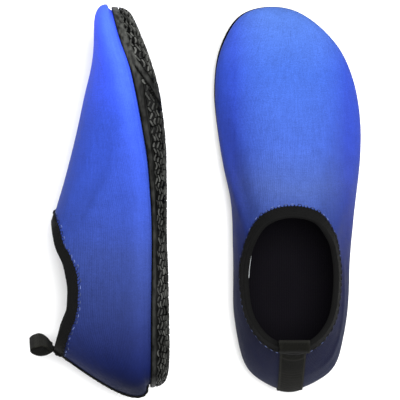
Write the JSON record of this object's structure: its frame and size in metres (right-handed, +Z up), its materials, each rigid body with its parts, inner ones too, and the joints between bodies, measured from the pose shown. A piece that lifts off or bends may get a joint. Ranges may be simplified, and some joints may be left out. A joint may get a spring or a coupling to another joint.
{
  "type": "water shoes",
  "caption": "Pair of low slip-on neoprene water shoes with stretch uppers, bound collars, heel tapes, pull loops and rubber cup soles.",
  "frame": {"origin": "on the ground at the middle of the pair's footprint", "axes": "+Y from the heels to the toes, +Z up, +X from the left shoe to the right shoe. The right shoe stands on its sole and the left shoe lies on its outer side"},
  "size_m": [0.2152, 0.2521, 0.0989],
  "materials": {
    "upper_fabric": "matte stretch knit on neoprene, bright blue at the toe to dark navy at the heel",
    "lining_fabric": "matte black stretch knit",
    "binding_tape": "matte black folded tape",
    "webbing": "matte black woven webbing",
    "thread": "spun sewing thread",
    "outsole_rubber": "satin moulded black rubber",
    "insole_foam": "soft black foam with a knitted face",
    "sole_board": "pale bonded fibre board",
    "label_fabric": "pale woven tape, blank"
  },
  "bodies": {
    "right_shoe": {"outsole_right": "outsole_rubber", "sole_board_right": "sole_board", "footbed_right": "insole_foam", "upper_right": "upper_fabric", "lining_right": "lining_fabric", "collar_binding_right": "binding_tape", "collar_thread_right": "thread", "heel_tape_right": "webbing", "loop_bartack_right": "thread", "inner_label_right": "label_fabric"},
    "right_loop": {"pull_loop_right": "webbing"},
    "left_shoe": {"outsole_left": "outsole_rubber", "sole_board_left": "sole_board", "footbed_left": "insole_foam", "upper_left": "upper_fabric", "lining_left": "lining_fabric", "collar_binding_left": "binding_tape", "collar_thread_left": "thread", "heel_tape_left": "webbing", "loop_bartack_left": "thread", "inner_label_left": "label_fabric"},
    "left_loop": {"pull_loop_left": "webbing"}
  },
  "joints": [
    {"name": "right_loop_flop", "type": "hinge", "parent": "right_shoe", "child": "right_loop", "pos_m": [0.0606, -0.0914, 0.0762], "axis": [1, 0, 0], "range_deg": [-45, 60]},
    {"name": "left_shoe_lift", "type": "slide", "parent": "right_shoe", "child": "left_shoe", "axis": [0, 0, 1], "range_m": [0, 0.15]},
    {"name": "left_loop_flop", "type": "hinge", "parent": "left_shoe", "child": "left_loop", "pos_m": [-0.09399, -0.09458, 0.0405], "axis": [0.0432, -0.0689, 0.9967], "range_deg": [-45, 60]}
  ]
}
